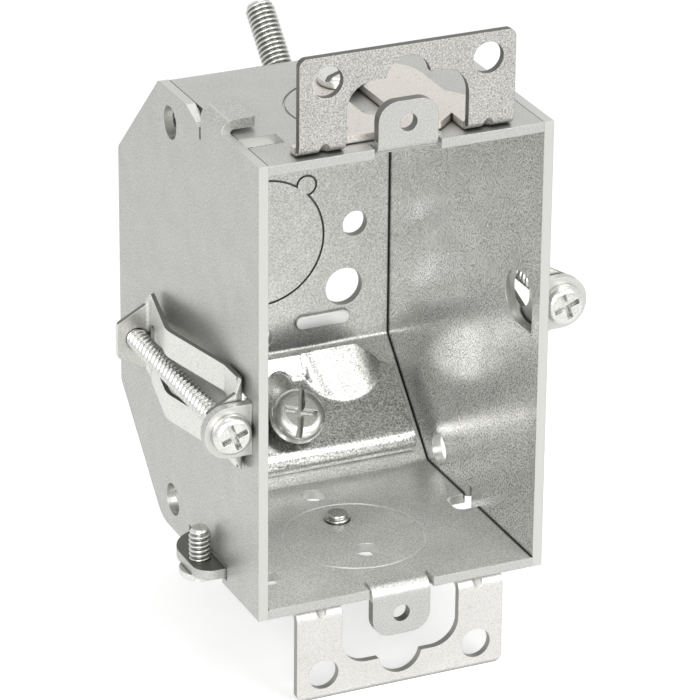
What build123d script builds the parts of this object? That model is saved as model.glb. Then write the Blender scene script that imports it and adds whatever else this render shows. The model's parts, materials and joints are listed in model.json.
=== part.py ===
"""Gangable old-work switch box of folded galvanised sheet.

Frame: +X to the right, +Y into the wall, +Z up, origin at the centre of the front opening.
All sizes in millimetres.
"""
import os

from build123d import *

os.makedirs("parts", exist_ok=True)

# Box
sheet = 1.6
box_height = 76.2
box_width = 49.2
box_depth = 57.15
bevel = 17.46
half_height = box_height / 2
half_width = box_width / 2
shell_half = half_width - sheet
flat_depth = box_depth - bevel
bevel_top = half_height - bevel
bend_inside = 1.0
bend_outside = bend_inside + sheet
diagonal = 0.5 ** 0.5
bend_allowance = sheet * 0.41421

# How far a cutter stands out past the face it opens, and how near its place an edge is picked
cut_margin = 1.0
pick_margin = 0.1

# Screw sizes
thread_clearance = 0.05
shank_clearance = 0.3
clip_screw_radius = 1.75
ear_screw_radius = 2.08
clamp_screw_radius = 2.41

# Device tabs
tab_half = 5.0
tab_reach = 45.3
tab_hole_z = 83.34 / 2
tab_hole_radius = 1.45
tab_corner = 3.2
tab_bend = 0.7
tab_relief = 0.6
tab_relief_depth = 3.0
tab_cut_height = 3 * sheet

# Knockouts and small holes of the shell
knockout_line = 0.35
knockout_depth = 0.5
flat_knockout_radius = 11.7
flat_knockout_y = 18.3
back_knockout_radius = 11.2
pry_radius = 1.9
pry_x = 7.9
pry_z = 9.1
rear_hole_y = 34.3
rear_hole_radius = 2.0
front_hole_y = 13.1
front_hole_radius = 2.2
back_hole_x = 16.7
back_hole_z = 0.9
back_hole_radius = 2.25
large_hole_x = 14.8
large_hole_z = -10.2
large_hole_radius = 3.35
low_hole_z = -17.2
low_hole_radius = 1.9
rib_x = 10.7
rib_z = -15.3
rib_length = 9.5
rib_width = 2.2
rib_height = 0.8
rib_wall = 0.5

# Locating slots at the left ends of the top and bottom panels
slot_front = 8.0
slot_rear = 11.8
slot_reach = 6.2

# Hook notches in the top panel (left) and the bottom panel (right)
notch_front = 19.9
notch_rear = 25.0
notch_reach = 3.8
notch_corner = 1.5

# Gang lug and gang screw
lug_front = 13.0
lug_rear = 27.9
lug_tip = half_width + 4.6
lug_joggle = half_width - 6.1
lug_gap = 0.4
lug_front_corner = 3.0
lug_rear_corner = 6.8
gang_screw_x = -half_width - 2.3
gang_screw_y = 18.3
gang_screw_radius = 1.75
gang_screw_length = 8.5
gang_head_radius = 3.3
gang_head_height = 1.4
gang_slot_turn = 60
screw_point = 0.4
slot_width = 1.0
slot_depth = 0.8
slot_span = 10.0

# Side plates
plate_hole_y = flat_depth - 4.69
plate_hole_z = half_height - 5.4
plate_hole_radius = 2.7
plate_corner = 1.2
plate_round_corner = 6.0
hook_front = 14.5
hook_rear = 22.5
hook_reach = 6.0
hook_lift = 0.6
hook_bend = 0.5
hook_corner = 1.2
hook_relief_rear = 28.4
hook_relief_depth = 2.2
hook_slit = 0.8
hook_slit_depth = 3.8

# Clip ears, clips and clip screws
clip_z = -6.0
clip_screw_x = half_width + 3.6
ear_front = 2.6
ear_back = ear_front + sheet
ear_half = 4.3
ear_round = 4.2
ear_root_y = 1.0
ear_fold = 0.5
ear_hole_rear = 12.0
ear_hole_margin = 0.2
clip_sheet = 0.8
clip_half = 7.7
clip_wall_half = 5.6
clip_tip_half = 2.9
clip_tip_corner = 0.9
clip_tip_x = half_width + 6.9
clip_seat = 0.1
clip_front = ear_back + clip_seat
clip_rear = 41.8
clip_apex_y = 26.4
clip_shoulder_y = 10.6
clip_gap = 0.45
clip_bulge = 3.3
clip_bend = 0.7
clip_crown = 6.0
clip_wall_root = 1.5
clip_slot_half = 3.2
clip_slot_round = 3.1
clip_slot_front = 7.6
clip_slot_rear = clip_rear - 1.4
clip_screw_length = 44.45
clip_head_radius = 3.25
clip_head_height = 1.9
clip_head_round = 1.2
recess_length = 4.4
recess_width = 0.9
recess_depth = 1.0
recess_turn = 20

# Plaster ears
ear_sheet = 1.2
ear_face_y = 0.3
ear_lift = 0.15
ear_reach = 16.0
ear_top = half_height + ear_reach
ear_width_half = 17.9
ear_corner = 1.3
ear_hole_x = 13.3
ear_hole_rise = 11.9
ear_hole_z = half_height + ear_hole_rise
ear_hole_radius = 2.55
window_half = 10.15
window_rise = 11.1
window_shoulder = half_height + window_rise
window_corner = 4.4
lobe_radius = 3.75
lobe_rise = 10.5
lobe_z = half_height + lobe_rise
ear_bend = 0.8
ear_base_left = 3.6
ear_base_right = 12.2
ear_base_ramp = 3.0
ear_shoulder = 15.3
dart_x = 13.6
dart_radius = 0.9
dart_depth = 0.55
dart_length = 5.0
tongue_right = 13.2
tongue_left = 7.0
tongue_rear = 31.5
tongue_corner = 8.0
tongue_slot_half = 2.4
tongue_slot_front = 9.6
tongue_slot_rear = 28.4
mouth_right = 7.0
mouth_depth = 3.4
mouth_lobe = 6.2
ear_screw_y = 24.8
ear_screw_seat = 0.05
ear_screw_head_radius = 3.7
ear_screw_head_height = 1.7
ear_screw_head_round = 1.0
ear_screw_inside = 1.2
ear_screw_slot_turn = 30

# Cable clamps
clamp_sheet = 1.3
clamp_side_gap = 2.2
clamp_half = shell_half - clamp_side_gap
clamp_top = 3.5
clamp_bottom = 22.0
clamp_lift = 2.0
clamp_seat = 0.1
clamp_curl = 1.4
clamp_corner_length = 4.4
clamp_corner_width = 6.5
clamp_screw_s = 14.5
clamp_screw_length = 22.2
clamp_head_lift = 6.0
clamp_head_radius = 4.6
clamp_head_height = 2.9
clamp_head_round = 1.9
clamp_slot_turn = 70
clamp_slot_depth = 1.2
clamp_cross_length = 5.6
arch_x = clamp_half - 9.4
arch_half = 6.9
arch_rise = 1.9
arch_s = 5.4
flare_rise = 1.8
flare_end = 7.0
flare_bend = 4.0
throat_hole_radius = 2.45
throat_hole_s = 7.9


def bevel_plane(side, height):
    """Plane on the bevel of the top (side 1) or bottom (side -1), height above its outer face."""
    corner = (0, box_depth, side * bevel_top)
    inward = (0, -diagonal, -side * diagonal)
    return Plane(origin=corner, x_dir=(-side, 0, 0), z_dir=inward).offset(height)


# Folded centre shell: top, upper bevel, back, lower bevel and bottom in one sheet
outer_bends = [(flat_depth, half_height), (box_depth, bevel_top)]
outer_bends += [(box_depth, -bevel_top), (flat_depth, -half_height)]
inner_y = flat_depth - bend_allowance
inner_z = half_height - sheet
inner_back = box_depth - sheet
inner_bevel = bevel_top - bend_allowance
inner_bends = [(inner_y, inner_z), (inner_back, inner_bevel)]
inner_bends += [(inner_back, -inner_bevel), (inner_y, -inner_z)]

with BuildPart() as box_body:
    with BuildSketch(Plane.YZ) as shell_outline:
        with BuildLine():
            Polyline((0, half_height), *outer_bends, (0, -half_height), close=True)
        make_face()
        bends = shell_outline.vertices().filter_by(lambda v: v.X > pick_margin)
        fillet(bends, bend_outside)
    extrude(amount=shell_half, both=True)
    with BuildSketch(Plane.YZ) as hollow_outline:
        with BuildLine():
            Polyline((-cut_margin, inner_z), *inner_bends, (-cut_margin, -inner_z), close=True)
        make_face()
        bends = hollow_outline.vertices().filter_by(lambda v: v.X > pick_margin)
        fillet(bends, bend_inside)
    extrude(amount=shell_half + cut_margin, both=True, mode=Mode.SUBTRACT)

    # Gang lug: joggled tongue of the bottom panel that passes out through the left plate
    lug_centre = (lug_front + lug_rear) / 2
    lug_half = (lug_rear - lug_front) / 2
    notch_length = shell_half - lug_joggle
    with Locations((-shell_half + notch_length / 2, lug_centre, -half_height + sheet / 2)):
        Box(notch_length, 2 * (lug_half + lug_gap), 3 * sheet, mode=Mode.SUBTRACT)
    low = -half_height
    mid = low + sheet
    high = mid + sheet
    turn = lug_joggle - bend_allowance
    with BuildSketch(Plane.XZ.offset(-lug_centre)):
        with BuildLine():
            lower = [(-turn, low), (-lug_joggle, low), (-lug_joggle - sheet, mid), (-lug_tip, mid)]
            upper = [(-lug_tip, high), (-turn - sheet, high), (-turn, mid)]
            Polyline(*lower, *upper, close=True)
        make_face()
    extrude(amount=lug_half, both=True)
    tip_edges = box_body.edges().filter_by(Axis.Z)
    tip_edges = tip_edges.filter_by(lambda e: e.center().X < -lug_tip + pick_margin)
    fillet(tip_edges.sort_by(Axis.Y)[0], lug_front_corner)
    tip_edges = box_body.edges().filter_by(Axis.Z)
    tip_edges = tip_edges.filter_by(lambda e: e.center().X < -lug_tip + pick_margin)
    fillet(tip_edges.sort_by(Axis.Y)[-1], lug_rear_corner)
    with BuildSketch(Plane.XY.offset(high)):
        with Locations((gang_screw_x, gang_screw_y)):
            Circle(gang_screw_radius + thread_clearance)
    extrude(amount=-2 * sheet, mode=Mode.SUBTRACT)

    # Device tabs folded out from the front edges of the top and bottom panels
    bend_zone = sheet + tab_bend
    for side in (1, -1):
        tab_width = 2 * (tab_half + tab_relief)
        with Locations((0, bend_zone / 2, side * half_height)):
            Box(tab_width, bend_zone, tab_cut_height, mode=Mode.SUBTRACT)
        for end in (1, -1):
            with Locations((end * (tab_half + tab_relief / 2), tab_relief_depth / 2, side * half_height)):
                Box(tab_relief, tab_relief_depth, tab_cut_height, mode=Mode.SUBTRACT)
        with BuildSketch(Plane.YZ) as tab_section:
            with BuildLine():
                flat = [(bend_zone, side * inner_z), (0, side * inner_z), (0, side * tab_reach)]
                face = [(sheet, side * tab_reach), (sheet, side * half_height)]
                Polyline(*flat, *face, (bend_zone, side * half_height), close=True)
            make_face()
            outside = tab_section.vertices().sort_by_distance((0, side * inner_z))[0]
            inside = tab_section.vertices().sort_by_distance((sheet, side * half_height))[0]
            fillet(outside, sheet + tab_bend)
            fillet(inside, tab_bend)
        extrude(amount=tab_half, both=True)
        corners = box_body.edges().filter_by(Axis.Y)
        corners = corners.filter_by(lambda e: abs(e.center().Z - side * tab_reach) < pick_margin)
        fillet(corners, tab_corner)
    with BuildSketch(Plane.XZ):
        with Locations((0, tab_hole_z), (0, -tab_hole_z)):
            Circle(tab_hole_radius)
    extrude(amount=-sheet, mode=Mode.SUBTRACT)

    # Knockout outlines, screw holes and small holes of the top and bottom panels
    for side in (1, -1):
        with BuildSketch(Plane.XY.offset(side * inner_z)):
            with Locations((0, flat_knockout_y)):
                Circle(flat_knockout_radius)
                Circle(flat_knockout_radius - knockout_line, mode=Mode.SUBTRACT)
        extrude(amount=side * knockout_depth, mode=Mode.SUBTRACT)
        with BuildSketch(Plane.XY.offset(side * half_height)):
            with Locations((0, flat_knockout_y)):
                Circle(flat_knockout_radius)
                Circle(flat_knockout_radius - knockout_line, mode=Mode.SUBTRACT)
        extrude(amount=-side * knockout_depth, mode=Mode.SUBTRACT)
        with BuildSketch(Plane.XY.offset(side * half_height)):
            with Locations((0, rear_hole_y)):
                Circle(rear_hole_radius)
            with Locations((0, front_hole_y)):
                Circle(front_hole_radius)
            with Locations((0, ear_screw_y)):
                Circle(ear_screw_radius + thread_clearance)
            with Locations((-shell_half + slot_reach / 2, (slot_front + slot_rear) / 2)):
                Rectangle(slot_reach, slot_rear - slot_front)
        extrude(amount=-side * sheet, mode=Mode.SUBTRACT)

    # Hook notches at the panel ends, left in the top and right in the bottom
    for side in (1, -1):
        notch_x = -side * (shell_half - notch_reach / 2 + notch_corner / 2)
        with BuildSketch(Plane.XY.offset(side * half_height)):
            with Locations((notch_x, (notch_front + notch_rear) / 2)):
                RectangleRounded(notch_reach + notch_corner, notch_rear - notch_front, notch_corner)
        extrude(amount=-side * sheet, mode=Mode.SUBTRACT)

    # Back: one large knockout with its pry lobe, fixing holes and two pressed ribs
    for face_y, way in ((inner_back, -1), (box_depth, 1)):
        with BuildSketch(Plane.XZ.offset(-face_y)):
            Circle(back_knockout_radius)
            with Locations((pry_x, pry_z)):
                Circle(pry_radius)
            Circle(back_knockout_radius - knockout_line, mode=Mode.SUBTRACT)
            with Locations((pry_x, pry_z)):
                Circle(pry_radius - knockout_line, mode=Mode.SUBTRACT)
        extrude(amount=way * knockout_depth, mode=Mode.SUBTRACT)
    with BuildSketch(Plane.XZ.offset(-box_depth)):
        with Locations((back_hole_x, back_hole_z), (-back_hole_x, back_hole_z)):
            Circle(back_hole_radius)
        with Locations((large_hole_x, large_hole_z), (-large_hole_x, large_hole_z)):
            Circle(large_hole_radius)
        with Locations((0, low_hole_z)):
            Circle(low_hole_radius)
    extrude(amount=sheet, mode=Mode.SUBTRACT)
    with BuildSketch(Plane.XZ.offset(-inner_back)):
        with Locations((rib_x, rib_z), (-rib_x, rib_z)):
            SlotOverall(rib_length, rib_width)
    extrude(amount=rib_height)
    with BuildSketch(Plane.XZ.offset(-box_depth)):
        with Locations((rib_x, rib_z), (-rib_x, rib_z)):
            SlotOverall(rib_length - 2 * rib_wall, rib_width - 2 * rib_wall)
    extrude(amount=rib_height, mode=Mode.SUBTRACT)

    # Tapped holes for the clamp screws in the two bevels
    for side in (1, -1):
        with BuildSketch(bevel_plane(side, 0)):
            with Locations((0, -clamp_screw_s)):
                Circle(clamp_screw_radius + thread_clearance)
        extrude(amount=sheet, mode=Mode.SUBTRACT)

# Left side plate with its hook, lug slot and lanced clip ear
with BuildPart() as left_side_plate:
    with BuildSketch(Plane.YZ.offset(-half_width)) as plate_outline:
        with BuildLine():
            Polyline((0, half_height), *outer_bends, (0, -half_height), close=True)
        make_face()
        low_corner = plate_outline.vertices().sort_by_distance((flat_depth, -half_height))[0]
        fillet(low_corner, plate_round_corner)
        for corner in ((flat_depth, half_height), (box_depth, bevel_top), (box_depth, -bevel_top)):
            fillet(plate_outline.vertices().sort_by_distance(corner)[0], plate_corner)
        with Locations((plate_hole_y, plate_hole_z), (plate_hole_y, -plate_hole_z)):
            Circle(plate_hole_radius, mode=Mode.SUBTRACT)
        with BuildLine():
            beyond = half_height + cut_margin
            relief = [(hook_relief_rear, half_height), (hook_rear, half_height - hook_relief_depth)]
            relief += [(hook_rear, beyond), (hook_relief_rear, beyond)]
            Polyline(*relief, close=True)
        make_face(mode=Mode.SUBTRACT)
        with Locations((hook_rear + hook_slit / 2, half_height)):
            Rectangle(hook_slit, 2 * hook_slit_depth, mode=Mode.SUBTRACT)
        slot_low = mid - lug_gap
        slot_high = high + 2 * lug_gap
        slot_length = lug_rear - lug_front + 2 * lug_gap
        with Locations((lug_centre, (slot_low + slot_high) / 2)):
            Rectangle(slot_length, slot_high - slot_low, mode=Mode.SUBTRACT)
        with Locations((gang_screw_y, low)):
            Rectangle(2 * (gang_head_radius + lug_gap), 3 * sheet, mode=Mode.SUBTRACT)
        hole_half = ear_half + ear_hole_margin
        hole_centre = (ear_front + ear_hole_rear - hole_half) / 2
        with Locations((hole_centre, clip_z)):
            Rectangle(ear_hole_rear - hole_half - ear_front, 2 * hole_half, mode=Mode.SUBTRACT)
        with Locations((ear_hole_rear - hole_half, clip_z)):
            Circle(hole_half, mode=Mode.SUBTRACT)
    extrude(amount=sheet)

    # Hook folded over the top panel
    hook_under = half_height + hook_lift
    hook_top = hook_under + sheet
    hook_tip = -half_width + hook_reach
    with BuildSketch(Plane.XZ.offset(-(hook_front + hook_rear) / 2)) as hook_section:
        with BuildLine():
            outside = [(-half_width, bevel_top), (-half_width, hook_top), (hook_tip, hook_top)]
            inside = [(hook_tip, hook_under), (-shell_half, hook_under), (-shell_half, bevel_top)]
            Polyline(*outside, *inside, close=True)
        make_face()
        fillet(hook_section.vertices().sort_by_distance((-half_width, hook_top))[0], sheet + hook_bend)
        fillet(hook_section.vertices().sort_by_distance((-shell_half, hook_under))[0], hook_bend)
    extrude(amount=(hook_rear - hook_front) / 2, both=True)
    tip_edges = left_side_plate.edges().filter_by(Axis.Z)
    tip_edges = tip_edges.filter_by(lambda e: abs(e.center().X - hook_tip) < pick_margin)
    fillet(tip_edges.sort_by(Axis.Y)[0], hook_corner)

    # Clip ear folded out from the plate
    ear_round_x = -clip_screw_x
    with BuildSketch(Plane.XY.offset(clip_z)) as ear_section:
        with BuildLine():
            front = [(-shell_half, ear_root_y), (-half_width, ear_root_y), (-half_width, ear_front)]
            back = [(ear_round_x - ear_half, ear_front), (ear_round_x - ear_half, ear_back)]
            Polyline(*front, *back, (-shell_half, ear_back), close=True)
        make_face()
        fillet(ear_section.vertices().sort_by_distance((-shell_half, ear_back))[0], sheet + ear_fold)
        fillet(ear_section.vertices().sort_by_distance((-half_width, ear_front))[0], ear_fold / 2)
    extrude(amount=ear_half, both=True)
    ear_edges = left_side_plate.edges().filter_by(Axis.Y)
    ear_edges = ear_edges.filter_by(lambda e: abs(e.center().X - ear_round_x + ear_half) < pick_margin)
    fillet(ear_edges, ear_round)
    with BuildSketch(Plane.XZ.offset(-ear_front)):
        with Locations((ear_round_x, clip_z)):
            Circle(clip_screw_radius + shank_clearance)
    extrude(amount=-sheet, mode=Mode.SUBTRACT)

# Left clip: bowed spring strap held between the ear and the screw thread
with BuildPart() as left_clip:
    near = -half_width - clip_gap
    far = near - clip_sheet
    bowed = near - clip_bulge
    tip_x = -clip_tip_x
    with BuildSketch(Plane.XY.offset(clip_z)) as strap_section:
        with BuildLine():
            plate_side = [(tip_x, clip_front), (near, clip_front), (near, clip_shoulder_y)]
            plate_side += [(bowed, clip_apex_y), (near, clip_rear), (tip_x, clip_rear)]
            screw_side = [(tip_x, clip_rear - clip_sheet), (far, clip_rear - clip_sheet)]
            screw_side += [(bowed - clip_sheet, clip_apex_y), (far, clip_shoulder_y)]
            screw_side += [(far, clip_front + clip_sheet), (tip_x, clip_front + clip_sheet)]
            Polyline(*plate_side, *screw_side, close=True)
        make_face()
        inner_front = (far, clip_front + clip_sheet)
        inner_rear = (far, clip_rear - clip_sheet)
        fillet(strap_section.vertices().sort_by_distance((near, clip_front))[0], clip_sheet + clip_bend)
        fillet(strap_section.vertices().sort_by_distance(inner_front)[0], clip_bend)
        fillet(strap_section.vertices().sort_by_distance((near, clip_rear))[0], clip_sheet + clip_bend)
        fillet(strap_section.vertices().sort_by_distance(inner_rear)[0], clip_bend)
        fillet(strap_section.vertices().sort_by_distance((bowed, clip_apex_y))[0], clip_crown)
        inner_crown = (bowed - clip_sheet, clip_apex_y)
        fillet(strap_section.vertices().sort_by_distance(inner_crown)[0], clip_crown + clip_sheet)
        fillet(strap_section.vertices().sort_by_distance((near, clip_shoulder_y))[0], clip_crown / 2)
        inner_shoulder = (far, clip_shoulder_y)
        fillet(strap_section.vertices().sort_by_distance(inner_shoulder)[0], clip_crown / 2 - clip_sheet)
    extrude(amount=clip_half, both=True)

    # End walls tapered towards their tips, and the strap corners beside them
    root_x = near - clip_wall_root
    wall_depth = clip_sheet + clip_bend
    for side in (1, -1):
        for wall_y in (clip_front, clip_rear - wall_depth):
            with BuildSketch(Plane.XZ.offset(-wall_y)):
                with BuildLine():
                    start = (root_x, clip_z + side * clip_wall_half)
                    tip = (tip_x, clip_z + side * clip_tip_half)
                    cut_x = tip_x - cut_margin
                    cut_z = clip_z + side * (clip_half + cut_margin)
                    beyond = (cut_x, clip_z + side * clip_tip_half)
                    outside = (cut_x, cut_z)
                    edge = (root_x + clip_wall_root, cut_z)
                    Polyline(start, tip, beyond, outside, edge, close=True)
                make_face()
            extrude(amount=-wall_depth, mode=Mode.SUBTRACT)
    wall_edges = left_clip.edges().filter_by(Axis.Y)
    wall_edges = wall_edges.filter_by(lambda e: abs(e.center().X - tip_x) < pick_margin)
    fillet(wall_edges, clip_tip_corner)

    # Long slot between the two legs and the screw holes of the end walls
    slot_length = clip_slot_rear - clip_slot_front
    with BuildSketch(Plane.YZ.offset(-half_width)):
        with Locations(((clip_slot_front + clip_slot_rear) / 2, clip_z)):
            RectangleRounded(slot_length, 2 * clip_slot_half, clip_slot_round)
    extrude(amount=-clip_gap - clip_bulge - 2 * clip_sheet, mode=Mode.SUBTRACT)
    with BuildSketch(Plane.XZ.offset(-clip_front)):
        with Locations((-clip_screw_x, clip_z)):
            Circle(clip_screw_radius + shank_clearance)
    extrude(amount=-clip_sheet, mode=Mode.SUBTRACT)
    with BuildSketch(Plane.XZ.offset(-clip_rear)):
        with Locations((-clip_screw_x, clip_z)):
            Circle(clip_screw_radius + thread_clearance)
    extrude(amount=clip_sheet, mode=Mode.SUBTRACT)

# Left clip screw, lying along Y through the ear and both clip walls
with BuildPart() as left_clip_screw:
    head_plane = Plane.XZ.offset(-ear_front)
    with BuildSketch(head_plane):
        with Locations((-clip_screw_x, clip_z)):
            Circle(clip_head_radius)
    extrude(amount=clip_head_height)
    rim = left_clip_screw.faces().sort_by(Axis.Y)[0].edges()
    fillet(rim, clip_head_round)
    with BuildSketch(head_plane):
        with Locations((-clip_screw_x, clip_z)):
            Circle(clip_screw_radius)
    extrude(amount=-clip_screw_length)
    point = left_clip_screw.faces().sort_by(Axis.Y)[-1].edges()
    chamfer(point, screw_point)
    with BuildSketch(head_plane.offset(clip_head_height)):
        with Locations((-clip_screw_x, clip_z)):
            Rectangle(recess_length, recess_width, rotation=recess_turn)
            Rectangle(recess_length, recess_width, rotation=recess_turn + 90)
    extrude(amount=-recess_depth, mode=Mode.SUBTRACT)

# The right-hand pieces are the left ones turned half round the box axis
with BuildPart() as right_side_plate:
    add(left_side_plate.part.rotate(Axis.Y, 180))
with BuildPart() as right_clip:
    add(left_clip.part.rotate(Axis.Y, 180))
with BuildPart() as right_clip_screw:
    add(left_clip_screw.part.rotate(Axis.Y, 180))

# Top plaster ear: front flange with its three-lobed window and a slotted tongue on the panel
base_low = half_height + ear_lift
base_high = base_low + ear_sheet
ear_rear_y = ear_face_y + ear_sheet
with BuildPart() as top_ear:
    with BuildSketch(Plane.YZ) as ear_section:
        with BuildLine():
            flange = [(ear_face_y, ear_top), (ear_face_y, base_low), (tongue_rear, base_low)]
            tongue = [(tongue_rear, base_high), (ear_rear_y, base_high), (ear_rear_y, ear_top)]
            Polyline(*flange, *tongue, close=True)
        make_face()
        fillet(ear_section.vertices().sort_by_distance((ear_face_y, base_low))[0], ear_sheet + ear_bend)
        fillet(ear_section.vertices().sort_by_distance((ear_rear_y, base_high))[0], ear_bend)
    extrude(amount=ear_width_half, both=True)

    # The base is full width at the bend and narrows to the tongue behind it
    with BuildSketch(Plane.XY.offset(base_low - cut_margin)):
        Rectangle(4 * ear_width_half, 4 * tongue_rear)
        with BuildLine():
            right = [(ear_width_half, ear_base_right), (ear_shoulder, ear_base_right)]
            right += [(tongue_right, ear_base_right + ear_base_ramp), (tongue_right, tongue_rear)]
            left = [(-tongue_left, tongue_rear), (-tongue_left, ear_base_left + ear_base_ramp)]
            left += [(-window_half, ear_base_left), (-ear_width_half, ear_base_left)]
            Polyline((-ear_width_half, -ear_sheet), (ear_width_half, -ear_sheet), *right, *left, close=True)
        make_face(mode=Mode.SUBTRACT)
    extrude(amount=ear_sheet + ear_bend + cut_margin, mode=Mode.SUBTRACT)
    rear_corners = top_ear.edges().filter_by(Axis.Z)
    rear_corners = rear_corners.filter_by(lambda e: e.center().Y > tongue_rear - pick_margin)
    fillet(rear_corners, tongue_corner)

    # Window of the flange, open at the bend, with a round lobe at its top
    with BuildSketch(Plane.XZ):
        with BuildLine():
            foot = [(window_half, half_height), (-window_half, half_height)]
            Polyline((-window_half, window_shoulder), (window_half, window_shoulder), *foot, close=True)
        window_face = make_face()
        fillet(window_face.vertices().sort_by(Axis.Y)[-2:], window_corner)
        with Locations((0, lobe_z)):
            Circle(lobe_radius)
    extrude(amount=-ear_rear_y - ear_sheet, mode=Mode.SUBTRACT)
    with BuildSketch(Plane.XY.offset(base_low - cut_margin)):
        with BuildLine():
            mouth = [(-window_half, 0), (-window_half, mouth_depth), (mouth_right, mouth_depth)]
            mouth += [(window_half, mouth_lobe), (window_half, 0)]
            Polyline(*mouth, close=True)
        make_face()
        with Locations((0, (tongue_slot_front + tongue_slot_rear) / 2)):
            SlotOverall(tongue_slot_rear - tongue_slot_front, 2 * tongue_slot_half, rotation=90)
    extrude(amount=ear_sheet + ear_bend + cut_margin, mode=Mode.SUBTRACT)
    with BuildSketch(Plane.XZ):
        with Locations((ear_hole_x, ear_hole_z), (-ear_hole_x, ear_hole_z)):
            Circle(ear_hole_radius)
    extrude(amount=-ear_rear_y, mode=Mode.SUBTRACT)
    top_corners = top_ear.edges().filter_by(Axis.Y)
    top_corners = top_corners.filter_by(lambda e: e.center().Z > ear_top - pick_margin)
    fillet(top_corners, ear_corner)

    # Stiffening darts pressed across the bend
    bend_radius = ear_sheet + ear_bend
    dart_offset = bend_radius * (1 - diagonal) - diagonal * (dart_radius - dart_depth)
    for end in (1, -1):
        dart_origin = (end * dart_x, ear_face_y + dart_offset, base_low + dart_offset)
        with BuildSketch(Plane(origin=dart_origin, x_dir=(1, 0, 0), z_dir=(0, 1, -1))):
            Circle(dart_radius)
        extrude(amount=dart_length / 2, both=True, mode=Mode.SUBTRACT)

# Top ear screw through the tongue slot into the top panel
with BuildPart() as top_ear_screw:
    head_plane = Plane.XY.offset(base_high + ear_screw_seat)
    with BuildSketch(head_plane):
        with Locations((0, ear_screw_y)):
            Circle(ear_screw_head_radius)
    extrude(amount=ear_screw_head_height)
    rim = top_ear_screw.faces().sort_by(Axis.Z)[-1].edges()
    fillet(rim, ear_screw_head_round)
    shank_length = base_high + ear_screw_seat - inner_z + ear_screw_inside
    with BuildSketch(head_plane):
        with Locations((0, ear_screw_y)):
            Circle(ear_screw_radius)
    extrude(amount=-shank_length)
    point = top_ear_screw.faces().sort_by(Axis.Z)[0].edges()
    chamfer(point, screw_point)
    with BuildSketch(head_plane.offset(ear_screw_head_height)):
        with Locations((0, ear_screw_y)):
            Rectangle(slot_span, slot_width, rotation=ear_screw_slot_turn)
    extrude(amount=-slot_depth, mode=Mode.SUBTRACT)

with BuildPart() as bottom_ear:
    add(top_ear.part.mirror(Plane.XY))
with BuildPart() as bottom_ear_screw:
    add(top_ear_screw.part.mirror(Plane.XY))

# Gang screw, driven up through the lug from below
with BuildPart() as left_gang_screw:
    head_plane = Plane.XY.offset(mid)
    with BuildSketch(head_plane):
        with Locations((gang_screw_x, gang_screw_y)):
            Circle(gang_head_radius)
    extrude(amount=-gang_head_height)
    rim = left_gang_screw.faces().sort_by(Axis.Z)[0].edges()
    fillet(rim, gang_head_height / 2)
    with BuildSketch(head_plane):
        with Locations((gang_screw_x, gang_screw_y)):
            Circle(gang_screw_radius)
    extrude(amount=gang_screw_length - sheet)
    point = left_gang_screw.faces().sort_by(Axis.Z)[-1].edges()
    chamfer(point, screw_point)
    with BuildSketch(head_plane.offset(-gang_head_height)):
        with Locations((gang_screw_x, gang_screw_y)):
            Rectangle(slot_span, slot_width, rotation=gang_slot_turn)
    extrude(amount=slot_depth, mode=Mode.SUBTRACT)


def build_arches(side, height):
    """Two half-round arches standing on one bevel at a height, each closed by a dome at its front."""
    base = bevel_plane(side, height)
    across = Plane(origin=base.from_local_coords((0, -arch_s, 0)), x_dir=base.x_dir, z_dir=-base.y_dir)
    with BuildPart() as arches:
        for x in (arch_x, -arch_x):
            with BuildSketch(across):
                with BuildLine():
                    ThreePointArc((x - arch_half, 0), (x, arch_rise), (x + arch_half, 0))
                    Line((x + arch_half, 0), (x - arch_half, 0))
                make_face()
            extrude(amount=clamp_top - arch_s)
            with BuildSketch(across):
                with BuildLine():
                    TangentArc((x, arch_rise), (x + arch_half, 0), tangent=(1, 0))
                    Polyline((x + arch_half, 0), (x, 0), (x, arch_rise))
                make_face()
            revolve(axis=Axis(across.from_local_coords((x, 0, 0)), across.y_dir))
    return arches.part


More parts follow.
